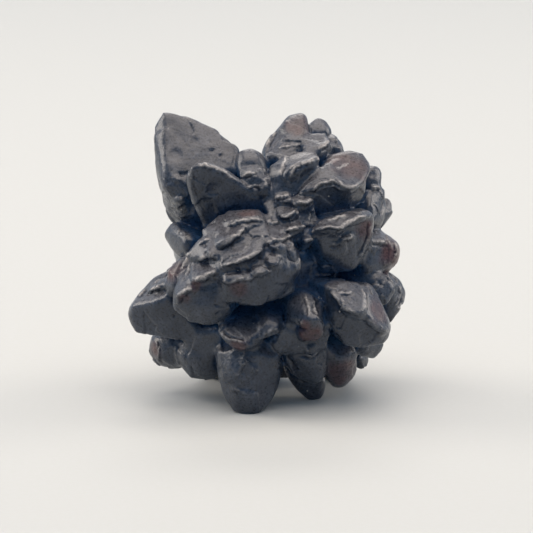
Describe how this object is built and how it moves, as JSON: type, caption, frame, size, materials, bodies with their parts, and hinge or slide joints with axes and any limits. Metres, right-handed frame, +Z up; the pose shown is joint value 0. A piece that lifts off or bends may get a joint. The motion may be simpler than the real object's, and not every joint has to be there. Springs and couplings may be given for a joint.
{
  "type": "goethite pseudomorph",
  "caption": "Loose mineral specimen: a ball of blunt bladed crystals radiating from a centre, resting on a few worn crystal tips.",
  "frame": {"origin": "under the middle of the stone's box, on the surface that it rests on", "axes": "+Z up from the resting surface, -Y towards the side that the picture shows, +X to the right as it is seen there"},
  "size_m": [0.0278, 0.0246, 0.028],
  "materials": {
    "goethite": "satin, worn smooth on the edges and finely pitted on the faces"
  },
  "bodies": {
    "root": {"goethite_stone": "goethite"}
  },
  "joints": []
}
